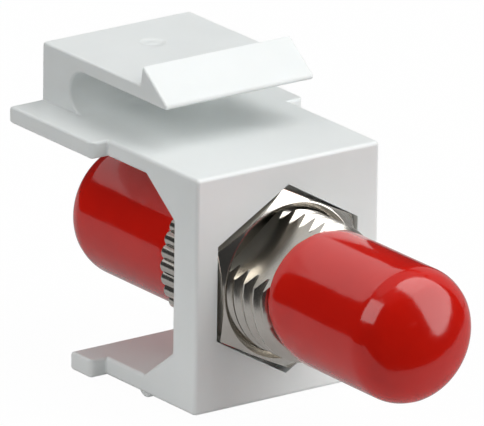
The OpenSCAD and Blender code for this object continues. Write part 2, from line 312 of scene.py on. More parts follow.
# %% Vinyl
def vinyl_surface(graph):
    place = graph.position_mm()
    swell = graph.speckle(place, 0.35, 2.0)
    peel = graph.speckle(place, 1.7, 2.0)
    mist = graph.speckle(place, 16.0, 2.0)
    specks = graph.ramp(graph.speckle(place, 2.9, 0.0), [(0.74, 0.0), (0.79, 1.0)])
    return {
        "Base Color": graph.between(swell, (0.56, 0.006, 0.002), (0.65, 0.010, 0.003)),
        "Roughness": 0.09 + 0.07 * mist + 0.12 * specks,
        "IOR": 1.5,
        "Coat Weight": 0.35,
        "Coat Roughness": 0.05,
        "Subsurface Weight": 0.15,
        "Subsurface Radius": (1.0, 0.12, 0.06),
        "Subsurface Scale": 0.0007,
        "Normal": graph.bump(0.62 * swell + 0.06 * peel + 0.01 * mist + 0.01 * specks, 0.07),
    }


red_vinyl = finish_of("red_vinyl_dipped", vinyl_surface)

# %% [markdown]
# ## The hidden finishes
#
# The two holders are bare turned brass, and the sleeve between them is ground
# ceramic. They only show when a cap is off and one looks into a barrel, but
# they get their own rings and tone like the rest.

# %% Brass and ceramic
def brass_surface(graph):
    place = graph.position_mm()
    rings = turned_rings(graph, place, 15.0)
    mottle = graph.speckle(place, 1.4, 4.0, 0.6)
    return {
        "Base Color": graph.between(mottle, (0.80, 0.62, 0.32), (0.66, 0.47, 0.22)),
        "Metallic": 1.0,
        "Roughness": 0.20 + 0.14 * mottle + 0.06 * rings,
        "Normal": graph.bump(rings, 0.004),
    }


def ceramic_surface(graph):
    place = graph.position_mm()
    ground = turned_rings(graph, place, 24.0)
    cloud = graph.speckle(place, 1.0, 2.0)
    return {
        "Base Color": graph.between(cloud, (0.86, 0.85, 0.80), (0.80, 0.79, 0.73)),
        "Roughness": 0.12 + 0.10 * ground,
        "Normal": graph.bump(ground, 0.001),
    }


brass_turned = finish_of("brass_turned", brass_surface)
zirconia_ground = finish_of("zirconia_ground", ceramic_surface)

# %% [markdown]
# ## A pen for sections
#
# Most pieces start as a line drawn in a flat section: straight strokes and
# arcs. Bmesh can grow such a line itself. Extruding its last vertex gives a
# straight stroke, and spinning that vertex about a centre gives an arc. The
# pen below does both, in the plane of radius and depth for turned pieces or
# in the side view for the housing. Lengths are millimetres until the end.

# %% Pen
HALF_SECTION = (lambda radius, depth: (radius, depth, 0), (0, 0, 1))
SIDE_VIEW = (lambda depth, height: (0, depth, height), (1, 0, 0))
FRONT_VIEW = (lambda across, height: (across, 0, height), (0, -1, 0))


class Pen:
    """Draws a line in a plane, stroke by stroke."""

    def __init__(self, plane, a, b):
        self.place, self.normal = plane
        self.shape = bmesh.new()
        self.start = self.tip = self.shape.verts.new(self.place(a, b))

    def to(self, a, b):
        stroke = bmesh.ops.extrude_vert_indiv(self.shape, verts=[self.tip])
        self.tip = stroke["verts"][0]
        self.tip.co = self.place(a, b)
        return self

    def through(self, *points):
        for point in points:
            self.to(*point)
        return self

    def arc(self, a, b, degrees, steps):
        """Swings the tip about a centre. Positive turns from the first axis to the second."""
        swept = bmesh.ops.spin(self.shape, geom=[self.tip], cent=self.place(a, b), axis=self.normal,
                               dvec=(0, 0, 0), angle=math.radians(degrees), steps=steps,
                               use_merge=False, use_duplicate=False)
        self.tip = next(g for g in swept["geom_last"] if isinstance(g, bmesh.types.BMVert))
        return self

    def close(self):
        self.shape.edges.new((self.tip, self.start))
        return self

    def fill(self):
        self.close()
        bmesh.ops.contextual_create(self.shape, geom=self.shape.edges[:])
        return self.shape


def take_in(whole, *shapes):
    """Moves other shapes into one bmesh."""
    for shape in shapes:
        carrier = bpy.data.meshes.new("carrier")
        shape.to_mesh(carrier)
        whole.from_mesh(carrier)
        bpy.data.meshes.remove(carrier)
        shape.free()
    return whole

# %% [markdown]
# ## From a section to a turned piece
#
# A turned piece is its half section spun once round the axis. The spin joins
# its last copy to its first, points on the axis are merged into one pole, and
# the normals are made to point outwards. A few short helpers do what nearly
# every piece needs.

# %% Turning
ROUND = 96
NEAR, ROUGHLY = 1e-4, 1e-3


def turn(pen, steps=ROUND):
    shape = pen.shape
    bmesh.ops.spin(shape, geom=shape.verts[:] + shape.edges[:], cent=(0, 0, 0), axis=(0, 1, 0),
                   dvec=(0, 0, 0), angle=math.tau, steps=steps, use_merge=True, use_duplicate=False)
    bmesh.ops.remove_doubles(shape, verts=shape.verts[:], dist=NEAR)
    point_outwards(shape)
    return shape


def point_outwards(shape):
    bmesh.ops.recalc_face_normals(shape, faces=shape.faces[:])


def shift(shape, x, y, z):
    bmesh.ops.translate(shape, verts=shape.verts[:], vec=(x, y, z))


def whole_of(shape):
    return shape.verts[:] + shape.edges[:] + shape.faces[:]


def count_open(shape):
    return sum(not e.is_manifold for e in shape.edges)


# %% [markdown]
# A mesh that is still being made is a bmesh. It becomes an object when it
# needs a modifier, such as a Boolean that cuts a hole, and the modifier's
# result is then kept as the mesh. Handing over is the last step of every
# piece: its size in metres, its smooth shading and its finish.

# %% Handing over
def place_object(name, shape):
    mesh = bpy.data.meshes.new(name)
    shape.to_mesh(mesh)
    shape.free()
    made = bpy.data.objects.new(name, mesh)
    bpy.context.collection.objects.link(made)
    return made


def settle(made):
    """Replaces an object's mesh by what its modifiers make of it."""
    bpy.context.view_layer.update()
    depsgraph = bpy.context.evaluated_depsgraph_get()
    mesh = bpy.data.meshes.new_from_object(made.evaluated_get(depsgraph), depsgraph=depsgraph)
    made.modifiers.clear()
    made.data = mesh
    return made


def carve(made, cutter):
    """Takes one closed mesh out of another."""
    tool = made.modifiers.new("carve", "BOOLEAN")
    tool.object, tool.operation, tool.solver = cutter, "DIFFERENCE", "EXACT"
    settle(made)
    bpy.data.objects.remove(cutter)


def hand_over(made, material, sharp=38, weighted=True):
    """Millimetres to metres, smooth shading, and the piece's finish or list of finishes."""
    mesh = made.data
    mesh.materials.clear()
    for coat in material if isinstance(material, list) else [material]:
        mesh.materials.append(coat)
    for face in mesh.polygons:
        face.use_smooth = True
    mesh.set_sharp_from_angle(angle=math.radians(sharp))
    if weighted:
        tool = made.modifiers.new("even_shading", "WEIGHTED_NORMAL")
        tool.keep_sharp = True
        settle(made)
    made.data.transform(Matrix.Scale(0.001, 4))
    made.data.name = made.name
    print(made.name, len(made.data.vertices), "vertices,", len(made.data.polygons), "faces")
    return made


# %% [markdown]
# ## Housing
#
# The real housing is one moulding: a front wall, an upper and a lower wall
# tied to it by sloping webs, ears that catch the plate, and the root of the
# latch. Its side view never changes across the middle, so it can be made as
# flat faces in the side view that are pulled outwards in three steps. Each
# step leaves some of the faces behind: the latch root stops first, then the
# walls, and only the ears go all the way. The other half is a mirror image.

# %% Housing section
TOP, UPPER_INSIDE, LOWER_INSIDE = 8, 6.85, -6.76
FRONT_WALL, WEB_END, WEB_UPPER, WEB_LOWER = 2.6, 5.7, 4.5, -4.41
UPPER_STOP, UPPER_END, LOWER_STOP, LOWER_END = 9.9, 19.15, 9.75, 12.05
SPLIT, SLOT_CENTRE, LATCH_UNDER, LATCH_TOP = 14.15, 14.575, 10.95, 11.9

walls = Pen(SIDE_VIEW, 0, -TOP).through(
    (LOWER_STOP, -TOP), (LOWER_STOP, LOWER_INSIDE), (WEB_END, LOWER_INSIDE),
    (FRONT_WALL, WEB_LOWER), (FRONT_WALL, WEB_UPPER), (WEB_END, UPPER_INSIDE),
    (UPPER_STOP, UPPER_INSIDE), (UPPER_STOP, TOP), (0, TOP)).fill()
lower_ear = Pen(SIDE_VIEW, LOWER_STOP, -TOP).through(
    (LOWER_END, -TOP), (LOWER_END, LOWER_INSIDE), (LOWER_STOP, LOWER_INSIDE)).fill()
upper_ear = Pen(SIDE_VIEW, UPPER_STOP, UPPER_INSIDE).through(
    (UPPER_END, UPPER_INSIDE), (UPPER_END, TOP), (SLOT_CENTRE, TOP), (UPPER_STOP, TOP)).fill()
root = Pen(SIDE_VIEW, SPLIT, LATCH_TOP).through((SPLIT, LATCH_UNDER), (SLOT_CENTRE, LATCH_UNDER))
root.arc(SLOT_CENTRE, (TOP + LATCH_UNDER) / 2, -180, 16)
root = root.through((UPPER_END, TOP), (UPPER_END, LATCH_TOP)).fill()
housing = take_in(bmesh.new(), walls, lower_ear, upper_ear, root)
bmesh.ops.remove_doubles(housing, verts=housing.verts[:], dist=NEAR)
print("housing section", len(housing.faces), "flat faces")

# %% [markdown]
# The faces are now pulled out to one side. A face that something further out
# already covers would be left inside the plastic, so the faces at each step
# that are covered are deleted before the half is mirrored and merged.

# %% Housing blank
HALF_WIDTH, EAR_REACH, LATCH_HALF = 7.25, 8.48, 5.875


def pull_out(shape, faces, distance):
    """Extrudes flat faces along X and returns where they end."""
    pulled = bmesh.ops.extrude_face_region(shape, geom=faces)["geom"]
    bmesh.ops.translate(shape, verts=[g for g in pulled if isinstance(g, bmesh.types.BMVert)],
                        vec=(distance, 0, 0))
    return [g for g in pulled if isinstance(g, bmesh.types.BMFace)]


def centre_of(face):
    return face.calc_center_median()


def lies_at(face, x):
    return all(abs(v.co.x - x) < NEAR for v in face.verts)


ends = pull_out(housing, housing.faces[:], LATCH_HALF)
ends = [f for f in ends if centre_of(f).z < TOP]
ends = pull_out(housing, ends, HALF_WIDTH - LATCH_HALF)
ends = [f for f in ends if centre_of(f).y > LOWER_STOP]
ends = pull_out(housing, ends, EAR_REACH - HALF_WIDTH)
covered = [f for f in housing.faces if lies_at(f, 0)]
covered += [f for f in housing.faces if lies_at(f, LATCH_HALF) and centre_of(f).z < TOP]
covered += [f for f in housing.faces if lies_at(f, HALF_WIDTH) and centre_of(f).y > LOWER_STOP]
bmesh.ops.delete(housing, geom=covered, context="FACES")
bmesh.ops.mirror(housing, geom=whole_of(housing), matrix=Matrix.Identity(4), merge_dist=NEAR,
                 axis="X")
bmesh.ops.remove_doubles(housing, verts=housing.verts[:], dist=NEAR)
bmesh.ops.dissolve_limit(housing, angle_limit=math.radians(1), verts=housing.verts[:],
                         edges=housing.edges[:])
point_outwards(housing)
print("housing blank:", len(housing.faces), "faces,", count_open(housing), "open edges")

# %% [markdown]
# Moulded corners are never knife sharp. Every edge is given a weight, which
# the Bevel modifier turns into a radius: half a millimetre on the ears' front
# corners, near 0.28 mm on the outer edges, and less on the latch, the ears'
# other edges and the fillets inside. The rim of the split, where the flexing
# arm goes on, stays sharp so that the two pieces meet without a groove.

# %% Housing edges
LARGEST_ROUND = 0.5
OUTER, THIN, INNER = 0.56, 0.4, 0.3

housing.normal_update()
weight = housing.edges.layers.float.new("bevel_weight_edge")
for edge in housing.edges:
    a, b = (v.co for v in edge.verts)
    bend, middle = edge.calc_face_angle_signed(0), (a + b) / 2
    at_split = max(abs(a.y - SPLIT), abs(b.y - SPLIT)) < ROUGHLY and middle.z > TOP
    upright = (a - b).xy.length < 0.02
    if abs(bend) < math.radians(25) or at_split:
        continue
    if bend < 0:
        edge[weight] = INNER
    elif upright and abs(middle.x) > EAR_REACH - 0.1 and a.y < UPPER_STOP + 1:
        edge[weight] = 1.0
    elif abs(middle.x) > HALF_WIDTH + 0.1 or middle.z > TOP + 0.1:
        edge[weight] = THIN
    else:
        edge[weight] = OUTER


def round_edges(made, clamp):
    """Rounds the weighted edges. A weight of 1 gives the largest round."""
    rounding = made.modifiers.new("rounding", "BEVEL")
    rounding.limit_method, rounding.width, rounding.segments = "WEIGHT", LARGEST_ROUND, 3
    rounding.use_clamp_overlap = clamp
    settle(made)


housing = place_object("moulded_housing", housing)
round_edges(housing, clamp=False)
print("housing rounded:", len(housing.data.polygons), "faces")

# %% [markdown]
# Four cuts follow: the hole for the coupler, the six-sided pocket round it
# that holds the nut, the round relief behind the wall where the knurled
# collar sits between the webs, and the shallow mark that an ejector pin left
# on the latch root. Each cutter is a closed mesh, and a Boolean takes it out.

# %% Cutters
def rod(radius, from_y, to_y):
    """A closed cylinder on the coupler's axis."""
    return turn(Pen(HALF_SECTION, 0, from_y).through((radius, from_y), (radius, to_y), (0, to_y)))


def hexagon(corner, degrees=0):
    """A flat six-sided face on the axis with a corner up, turned by so many degrees."""
    shape = bmesh.new()
    bmesh.ops.create_circle(shape, cap_ends=True, segments=6, radius=corner)
    stand_up = Matrix.Rotation(math.pi / 2, 3, "X")
    turn_round = Matrix.Rotation(math.radians(-degrees), 3, "Y")
    bmesh.ops.rotate(shape, verts=shape.verts[:], cent=(0, 0, 0), matrix=turn_round @ stand_up)
    return shape


POCKET_CORNER, POCKET_DEPTH = 6.41, 1.2
pocket = hexagon(POCKET_CORNER)
shift(pocket, 0, -1, 0)
deep = bmesh.ops.extrude_face_region(pocket, geom=pocket.faces[:])["geom"]
bmesh.ops.translate(pocket, verts=[g for g in deep if isinstance(g, bmesh.types.BMVert)],
                    vec=(0, 1 + POCKET_DEPTH, 0))
point_outwards(pocket)

MARK_DEPTH = 15.1
mark = turn(Pen(HALF_SECTION, 0, 0.5).through(
    (0, -0.035), (0.10, -0.032), (0.22, -0.045), (0.38, -0.062), (0.56, -0.060),
    (0.72, -0.040), (0.86, -0.012), (0.98, 0.004), (0.98, 0.5), (0, 0.5)), 48)
bmesh.ops.rotate(mark, verts=mark.verts[:], cent=(0, 0, 0),
                 matrix=Matrix.Rotation(math.pi / 2, 3, "X"))
shift(mark, 0, MARK_DEPTH, LATCH_TOP)
print("pocket", len(pocket.faces), "faces, ejector mark", len(mark.faces), "faces")

# %% [markdown]
# The hole goes through the front wall. The relief is a little wider than the
# collar and as long, so only the webs are cut by it.

# %% Housing cuts
HOLE_RADIUS, RELIEF_RADIUS, COLLAR_REAR = 4.86, 5.45, 6.75
carve(housing, place_object("hole", rod(HOLE_RADIUS, -1, FRONT_WALL + 1.4)))
carve(housing, place_object("pocket", pocket))
carve(housing, place_object("relief", rod(RELIEF_RADIUS, FRONT_WALL, COLLAR_REAR)))
carve(housing, place_object("mark", mark))
print("housing cut:", len(housing.data.polygons), "faces")

# %% [markdown]
# The snap rib under the lower wall is a flat arc. It is drawn in the side
# view from its chord and its height, which give the arc's radius, and then
# pulled across. It stays a closed body of its own, sunk into the wall.

# %% Snap rib
RIB_HALF, RIB_FROM, RIB_CHORD, RIB_HEIGHT, RIB_SUNK = 6.95, 5.2, 1.3, 0.4, 0.3
half_chord = RIB_CHORD / 2
rib_radius = (half_chord ** 2 + RIB_HEIGHT ** 2) / (2 * RIB_HEIGHT)
rib_swing = 2 * math.degrees(math.asin(half_chord / rib_radius))
rib = Pen(SIDE_VIEW, RIB_FROM, -TOP)
rib.arc(RIB_FROM + half_chord, rib_radius - RIB_HEIGHT - TOP, rib_swing, 10)
rib = rib.through((RIB_FROM + RIB_CHORD, RIB_SUNK - TOP), (RIB_FROM, RIB_SUNK - TOP)).fill()
shift(rib, -RIB_HALF, 0, 0)
pull_out(rib, rib.faces[:], 2 * RIB_HALF)
point_outwards(rib)
rib_ends = [e for e in rib.edges if abs(e.verts[0].co.x - e.verts[1].co.x) < NEAR
            and max(v.co.z for v in e.verts) < 0.05 - TOP]
bmesh.ops.bevel(rib, geom=rib_ends, offset=0.12, offset_type="OFFSET", segments=3, profile=0.5,
                affect="EDGES", material=-1, clamp_overlap=True)
body = bmesh.new()
body.from_mesh(housing.data)
take_in(body, rib)
body.to_mesh(housing.data)
body.free()
hand_over(housing, white_plastic)
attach(housing, "adapter")
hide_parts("housing")

# %% [markdown]
# ## Latch
#
# The arm springs from the root and ends in a wedge that snaps behind the
# plate. Pressing it bends the plastic near the root. So the arm is a piece of
# its own that starts exactly on the root's split face, with extra cuts near
# it.

# %% Latch arm
LIP_FOOT, LIP_CREST, LIP_HEIGHT, LIP_NOSE, NOSE_HEIGHT = 8.3, 8.1, 13.25, 5.42, 11.25
BENDS, BEND_STEP = 8, 0.42

arm = Pen(SIDE_VIEW, SPLIT, LATCH_UNDER).through(
    (SPLIT, LATCH_TOP), (LIP_FOOT, LATCH_TOP), (LIP_CREST, LIP_HEIGHT),
    (LIP_NOSE, NOSE_HEIGHT), (LIP_NOSE, LATCH_UNDER)).fill()
shift(arm, -LATCH_HALF, 0, 0)
pull_out(arm, arm.faces[:], 2 * LATCH_HALF)
point_outwards(arm)
arm.normal_update()
weight = arm.edges.layers.float.new("bevel_weight_edge")
for edge in arm.edges:
    if not all(abs(v.co.y - SPLIT) < ROUGHLY for v in edge.verts):
        edge[weight] = OUTER if edge.calc_face_angle_signed(0) < 0 else THIN
for step in range(1, BENDS + 1):
    bmesh.ops.bisect_plane(arm, geom=whole_of(arm), dist=1e-5,
                           plane_co=(0, SPLIT - step * BEND_STEP, 0), plane_no=(0, 1, 0))
arm = place_object("latch_spring_arm", arm)
round_edges(arm, clamp=True)
hand_over(arm, white_plastic)
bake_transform(arm)
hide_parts("latch_arm")

# %% [markdown]
# ## Coupler
#
# Three forms make the coupler: a plain barrel with its socket inside, the
# mounting thread, and the knurled collar. The barrel is a lathe section. The
# slot for the plug's key is cut into its upper side by a Boolean, with a
# cutter that has its two inner corners rounded.

# %% Barrel
SLOT_LENGTH, SLOT_FLOOR = 5.4, -8.9
barrel = turn(Pen(HALF_SECTION, 3.25, -13.3).through(
    (3.40, -13.3), (3.60, -13.2), (3.65, -13.08), (3.65, -3.8), (3.45, -3.8), (3.45, 2.75),
    (2.5, 2.75), (2.5, -4.8), (2.6, -4.9), (2.95, -4.9), (3.05, -4.8), (3.05, -13.1)).close())
slot = bmesh.new()
bmesh.ops.create_cube(slot, size=1.0)
bmesh.ops.scale(slot, vec=(1.7, SLOT_LENGTH, 3.0), verts=slot.verts[:])
shift(slot, 0, SLOT_FLOOR - SLOT_LENGTH / 2, 3.5)
slot_end = [e for e in slot.edges if all(v.co.y > SLOT_FLOOR - 0.6 for v in e.verts)
            and abs(e.verts[0].co.z - e.verts[1].co.z) > 1]
bmesh.ops.bevel(slot, geom=slot_end, offset=0.35, offset_type="OFFSET", segments=4, profile=0.5,
                affect="EDGES", material=-1)
barrel = place_object("barrel", barrel)
carve(barrel, place_object("slot", slot))
print("barrel", len(barrel.data.polygons), "faces")

# %% [markdown]
# The thread is drawn as one tooth and spun round and forward at once, seven
# turns of it. It is a right-hand thread, so it moves forward as it turns
# anticlockwise seen from the front. Neighbouring turns share their edges and
# merge.

# %% Thread coil
PITCH, CREST, ROOT, TURNS = 1.058, 4.745, 4.12, 7
THREAD_START = -0.071 + 2 * PITCH
tooth = Pen(HALF_SECTION, ROOT, THREAD_START - PITCH / 2)
tooth.through(*[(radius, THREAD_START + share * PITCH) for radius, share in (
    (ROOT + 0.03, -0.41), (CREST - 0.06, -0.115), (CREST, -0.06), (CREST, 0.06),
    (CREST - 0.06, 0.115), (ROOT + 0.03, 0.41), (ROOT, 0.5))])
thread = tooth.shape
bmesh.ops.spin(thread, geom=thread.verts[:] + thread.edges[:], cent=(0, 0, 0),
               axis=(0, -1, 0), dvec=(0, -PITCH / ROUND, 0), angle=math.tau * TURNS,
               steps=ROUND * TURNS, use_merge=False, use_duplicate=False)
depths = [v.co.y for v in thread.verts]
print("thread spun from", round(max(depths), 3), "to", round(min(depths), 3))
bmesh.ops.remove_doubles(thread, verts=thread.verts[:], dist=2 * ROUGHLY)

# %% [markdown]
# Both ends of the coil are planed off square, the front end is eased down to
# the root so that it runs out softly, and the flat is planed along one side.
# Two helpers for rings of edges are made here: one extrudes a ring and moves
# its new points, the other says where a point on a given circle lies.

# %% Trim the thread
THREAD_FRONT, THREAD_REAR = -3.9, 0.9
FLAT_DIRECTION, FLAT_REACH = 127, 3.6


def plane_off(shape, y, forward):
    """Cuts a shape square to the axis and throws the outer part away."""
    bmesh.ops.bisect_plane(shape, geom=whole_of(shape), dist=1e-5, plane_co=(0, y, 0),
                           plane_no=(0, -1 if forward else 1, 0), clear_outer=True,
                           clear_inner=False)


def plane_flat(shape):
    """Cuts away what stands out past the milled flat."""
    bmesh.ops.bisect_plane(shape, geom=whole_of(shape), dist=1e-5, plane_co=lean * FLAT_REACH,
                           plane_no=lean, clear_outer=True, clear_inner=False)


def pull_ring(shape, edges, move):
    """Extrudes a ring of edges and moves each new vertex. Returns the new ring."""
    pulled = bmesh.ops.extrude_edge_only(shape, edges=edges)["geom"]
    fresh = {g for g in pulled if isinstance(g, bmesh.types.BMVert)}
    for vertex in fresh:
        vertex.co = move(vertex.co.copy())
    return [g for g in pulled
            if isinstance(g, bmesh.types.BMEdge) and all(v in fresh for v in g.verts)]


def at_radius(radius, y):
    """A move that puts a point on a circle round the axis."""
    def move(co):
        reach = math.hypot(co.x, co.z)
        return Vector((co.x * radius / reach, y, co.z * radius / reach))
    return move


plane_off(thread, THREAD_REAR, False)
plane_off(thread, THREAD_FRONT, True)
for vertex in thread.verts:
    reach = math.hypot(vertex.co.x, vertex.co.z)
    eased = min(reach, ROOT + 3 * (vertex.co.y - THREAD_FRONT)) / reach
    vertex.co.x *= eased
    vertex.co.z *= eased
lean = Matrix.Rotation(math.radians(-FLAT_DIRECTION), 3, "Y") @ Vector((1, 0, 0))
plane_flat(thread)
print("thread rim edges", sum(e.is_boundary for e in thread.edges))

# %% [markdown]
# The collar's outline is one rounded ridge, an arc that reaches half a step
# to each side, repeated all the way round. The outline is drawn in the front
# view, and its ring is pulled along the axis and in over the rear edge.

# %% Collar
RIDGES, RIDGE_RADIUS, RIDGE_CIRCLE, COLLAR_BORE = 34, 0.52, 4.78, 3.4
half_step = math.pi / RIDGES
valley = RIDGE_CIRCLE * math.cos(half_step) + math.sqrt(
    RIDGE_RADIUS ** 2 - (RIDGE_CIRCLE * math.sin(half_step)) ** 2)
foot_across, foot_up = valley * math.cos(half_step), valley * math.sin(half_step)
ridge = Pen(FRONT_VIEW, foot_across, -foot_up)
ridge.arc(RIDGE_CIRCLE, 0, 2 * math.degrees(math.atan2(foot_up, foot_across - RIDGE_CIRCLE)), 8)
collar = ridge.shape
bmesh.ops.spin(collar, geom=collar.verts[:] + collar.edges[:], cent=(0, 0, 0), axis=(0, -1, 0),
               dvec=(0, 0, 0), angle=math.tau, steps=RIDGES, use_merge=False, use_duplicate=True)
bmesh.ops.remove_doubles(collar, verts=collar.verts[:], dist=ROUGHLY)
print("collar outline", len(collar.edges), "edges, radius", round(valley, 3), "to",
      round(max(math.hypot(v.co.x, v.co.z) for v in collar.verts), 3))
shift(collar, 0, FRONT_WALL, 0)
first_ring = collar.edges[:]


def shrink(amount, y):
    """A move towards the axis by a set amount."""
    def move(co):
        reach = math.hypot(co.x, co.z)
        return Vector((co.x * (reach - amount) / reach, y, co.z * (reach - amount) / reach))
    return move


ring = first_ring
for move in (shrink(0, COLLAR_REAR - 0.15), shrink(0.05, COLLAR_REAR - 0.05),
             shrink(0.15, COLLAR_REAR), at_radius(4.7, COLLAR_REAR),
             at_radius(COLLAR_BORE, COLLAR_REAR), at_radius(COLLAR_BORE, FRONT_WALL)):
    ring = pull_ring(collar, ring, move)
bmesh.ops.bridge_loops(collar, edges=ring + first_ring)
point_outwards(collar)

# %% [markdown]
# The thread is an open skin now. One edge across each end of the flat closes
# its outline, and those edges are divided so that they can bend. The flat is
# filled with one face. Each end is then pulled in to a smaller ring, and the
# two rings are bridged inside the barrel, where nobody looks.

# %% Close the thread
def rim_at(y):
    """The open edges at one end of the thread, with a divided edge across the flat."""
    ends = [v for v in thread.verts if v.is_boundary and abs(v.co.y - y) < ROUGHLY
            and abs(v.co.dot(lean) - FLAT_REACH) < ROUGHLY]
    bridge = thread.edges.new(ends)
    arc = [e for e in thread.edges if e.is_boundary and all(abs(v.co.y - y) < ROUGHLY for v in e.verts)]
    parts = bmesh.ops.subdivide_edges(thread, edges=[bridge], cuts=16)["geom"]
    return arc, [g for g in parts if isinstance(g, bmesh.types.BMEdge)]


front_arc, front_bridge = rim_at(THREAD_FRONT)
rear_arc, rear_bridge = rim_at(THREAD_REAR)
sides = [e for e in thread.edges
         if e.is_boundary and all(abs(v.co.dot(lean) - FLAT_REACH) < ROUGHLY for v in e.verts)]
bmesh.ops.contextual_create(thread, geom=sides + front_bridge + rear_bridge)
front_ring = pull_ring(thread, front_arc + front_bridge, at_radius(3.3, THREAD_FRONT))
rear_ring = pull_ring(thread, rear_arc + rear_bridge, at_radius(3.3, THREAD_REAR))
bmesh.ops.bridge_loops(thread, edges=front_ring + rear_ring)
point_outwards(thread)
for face in thread.faces:
    face.material_index = 1
print("thread open edges", count_open(thread))

# %% [markdown]
# In front of the thread the stem goes on a little at the thread's root, with
# the same flat, until it steps down to the barrel under the cap.

# %% Neck
neck = turn(Pen(HALF_SECTION, 3.5, -5.95).through(
    (3.85, -5.95), (4.115, -5.70), (4.115, -3.85), (3.5, -3.85)).close())
plane_flat(neck)
bmesh.ops.holes_fill(neck, edges=[e for e in neck.edges if e.is_boundary], sides=0)
point_outwards(neck)
for face in neck.faces:
    face.material_index = 1
print("neck open edges", count_open(neck))

# %% [markdown]
# The four closed bodies now become one mesh. Thread and neck carry the index
# of the second finish in the list, the grainy plate.

# %% Join the coupler
coupler = bmesh.new()
coupler.from_mesh(barrel.data)
take_in(coupler, thread, neck, collar)
bpy.data.objects.remove(barrel)
coupler = place_object("threaded_coupler", coupler)
hand_over(coupler, [nickel_plate, nickel_thread], sharp=30)
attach(coupler, "adapter")
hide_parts("coupler_body")

# %% [markdown]
# ## Nut
#
# A hexagon nut that stands a little proud of its pocket, and is turned a few
# degrees in it as far as the clearance lets it. It is chamfered so that its
# corners sink below the housing's face, and countersunk where the thread
# comes through. It starts as six sides. Its corners are eased, its sides are
# cut into short edges, and the ring is then pulled from place to place: up
# the sides to where a cone meets them, in to the round edge of the face, down
# the countersink and through the hole.

# %% Hexagon nut
NUT_FACE, NUT_CORNER, NUT_FRONT, NUT_REAR, NUT_TURN = 5.27, 6.18, -0.37, 1.1, 3.2
NUT_HOLE, CHAMFER = 4.82, math.radians(30)
nut = hexagon(NUT_CORNER, NUT_TURN)
shift(nut, 0, NUT_REAR, 0)
bmesh.ops.bevel(nut, geom=nut.verts[:], offset=0.14, offset_type="OFFSET", segments=3, profile=0.5,
                affect="VERTICES", material=-1)
bmesh.ops.delete(nut, geom=nut.faces[:], context="FACES_ONLY")
bmesh.ops.subdivide_edges(nut, edges=[e for e in nut.edges if e.calc_length() > 1], cuts=23)


def on_cone(inset):
    """A move to where the chamfer's cone meets the side, drawn in by so much."""
    def move(co):
        reach = math.hypot(co.x, co.z)
        depth = NUT_FRONT + max(0, reach - NUT_FACE) * math.tan(CHAMFER)
        return Vector((co.x * (reach - inset) / reach, depth, co.z * (reach - inset) / reach))
    return move


outer = nut.edges[:]
ring = pull_ring(nut, outer, on_cone(0))
# The sides take the second finish, the near-black painted shade of the gap round the nut.
for face in nut.faces:
    face.material_index = 1
ring = pull_ring(nut, ring, on_cone(0.05))
for radius, depth in (
        (NUT_FACE + 0.03, NUT_FRONT + 0.017), (NUT_FACE - 0.03, NUT_FRONT),
        (5.20, NUT_FRONT), (5.16, NUT_FRONT + 0.03), (4.88, NUT_FRONT + 0.27),
        (NUT_HOLE, NUT_FRONT + 0.35), (NUT_HOLE, NUT_REAR - 0.1), (4.95, NUT_REAR)):
    ring = pull_ring(nut, ring, at_radius(radius, depth))
bmesh.ops.bridge_loops(nut, edges=ring + outer)
bmesh.ops.remove_doubles(nut, verts=nut.verts[:], dist=NEAR)
point_outwards(nut)
print("nut open edges", count_open(nut))
nut = place_object("hexagon_nut", nut)
hand_over(nut, [nickel_plate, nut_sides_painted_shade], sharp=22)
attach(nut, "adapter")
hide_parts("hex_nut")

# %% [markdown]
# ## Dust caps
#
# Each cap is a thin cup with a shallow dome, a round shoulder and a wall that
# is a little thicker at the closed end. Its section is drawn with arcs for
# dome and shoulder, inside and out, and spun. The skin then gets a slow swell
# of a few hundredths of a millimetre, because dipped vinyl is never true.

# %% Cap section
CAP_RADIUS, SHOULDER, DOME = 4.55, 2.2, 8.0
GRIP, BORE, GRIP_LENGTH = 3.70, 4.19, 4.5
LIP_ROUND, LIP_EDGE, OUTER_RINGS, INNER_RINGS = 0.12, 0.08, 14, 7


def cap_section(length):
    """Half section of a cap whose tip is at 0 and whose rim is at its length."""
    side = CAP_RADIUS - SHOULDER
    rise = math.sqrt((DOME - SHOULDER) ** 2 - side ** 2)
    joint = math.degrees(math.atan2(side, rise))
    centre = DOME - rise
    pen = Pen(HALF_SECTION, 0, 0)
    pen.arc(0, DOME, joint, 10).arc(side, centre, 90 - joint, 14)
    for ring in range(1, OUTER_RINGS + 1):
        pen.to(CAP_RADIUS, centre + (length - LIP_ROUND - centre) * ring / OUTER_RINGS)
    pen.through((CAP_RADIUS - 0.03, length - 0.04), (CAP_RADIUS - LIP_ROUND, length),
                (BORE + LIP_EDGE, length), (BORE, length - LIP_EDGE))
    for ring in range(1, INNER_RINGS + 1):
        pen.to(BORE, length - LIP_EDGE - (length - LIP_EDGE - GRIP_LENGTH) * ring / INNER_RINGS)
    pen.to(GRIP, GRIP_LENGTH - 0.3).to(GRIP, centre)
    pen.arc(side, centre, joint - 90, 8).arc(0, DOME, -joint, 6)
    return pen


def swell(co, seed):
    """How far the dipped skin sinks at a point, in millimetres."""
    wave = noise.noise(Vector((co.x * 0.22, co.y * 0.16 + seed, co.z * 0.22)))
    return 0.02 + 0.02 * wave


def soften(shape, seed):
    """Lets the outer skin sink by its swell."""
    for vertex in shape.verts:
        reach = math.hypot(vertex.co.x, vertex.co.z)
        if reach > GRIP + 0.6:
            sunk = (reach - swell(vertex.co, seed)) / reach
            vertex.co.x *= sunk
            vertex.co.z *= sunk


# %% [markdown]
# The front cap was pushed on over the end of the thread, so its rim stands
# further forward on one side than on the other. The table gives how far back
# the rim reaches in each direction, read from the photograph where it shows
# and guessed where it doesn't. The rings of the wall near the rim follow it
# by a share that fades towards the dome.

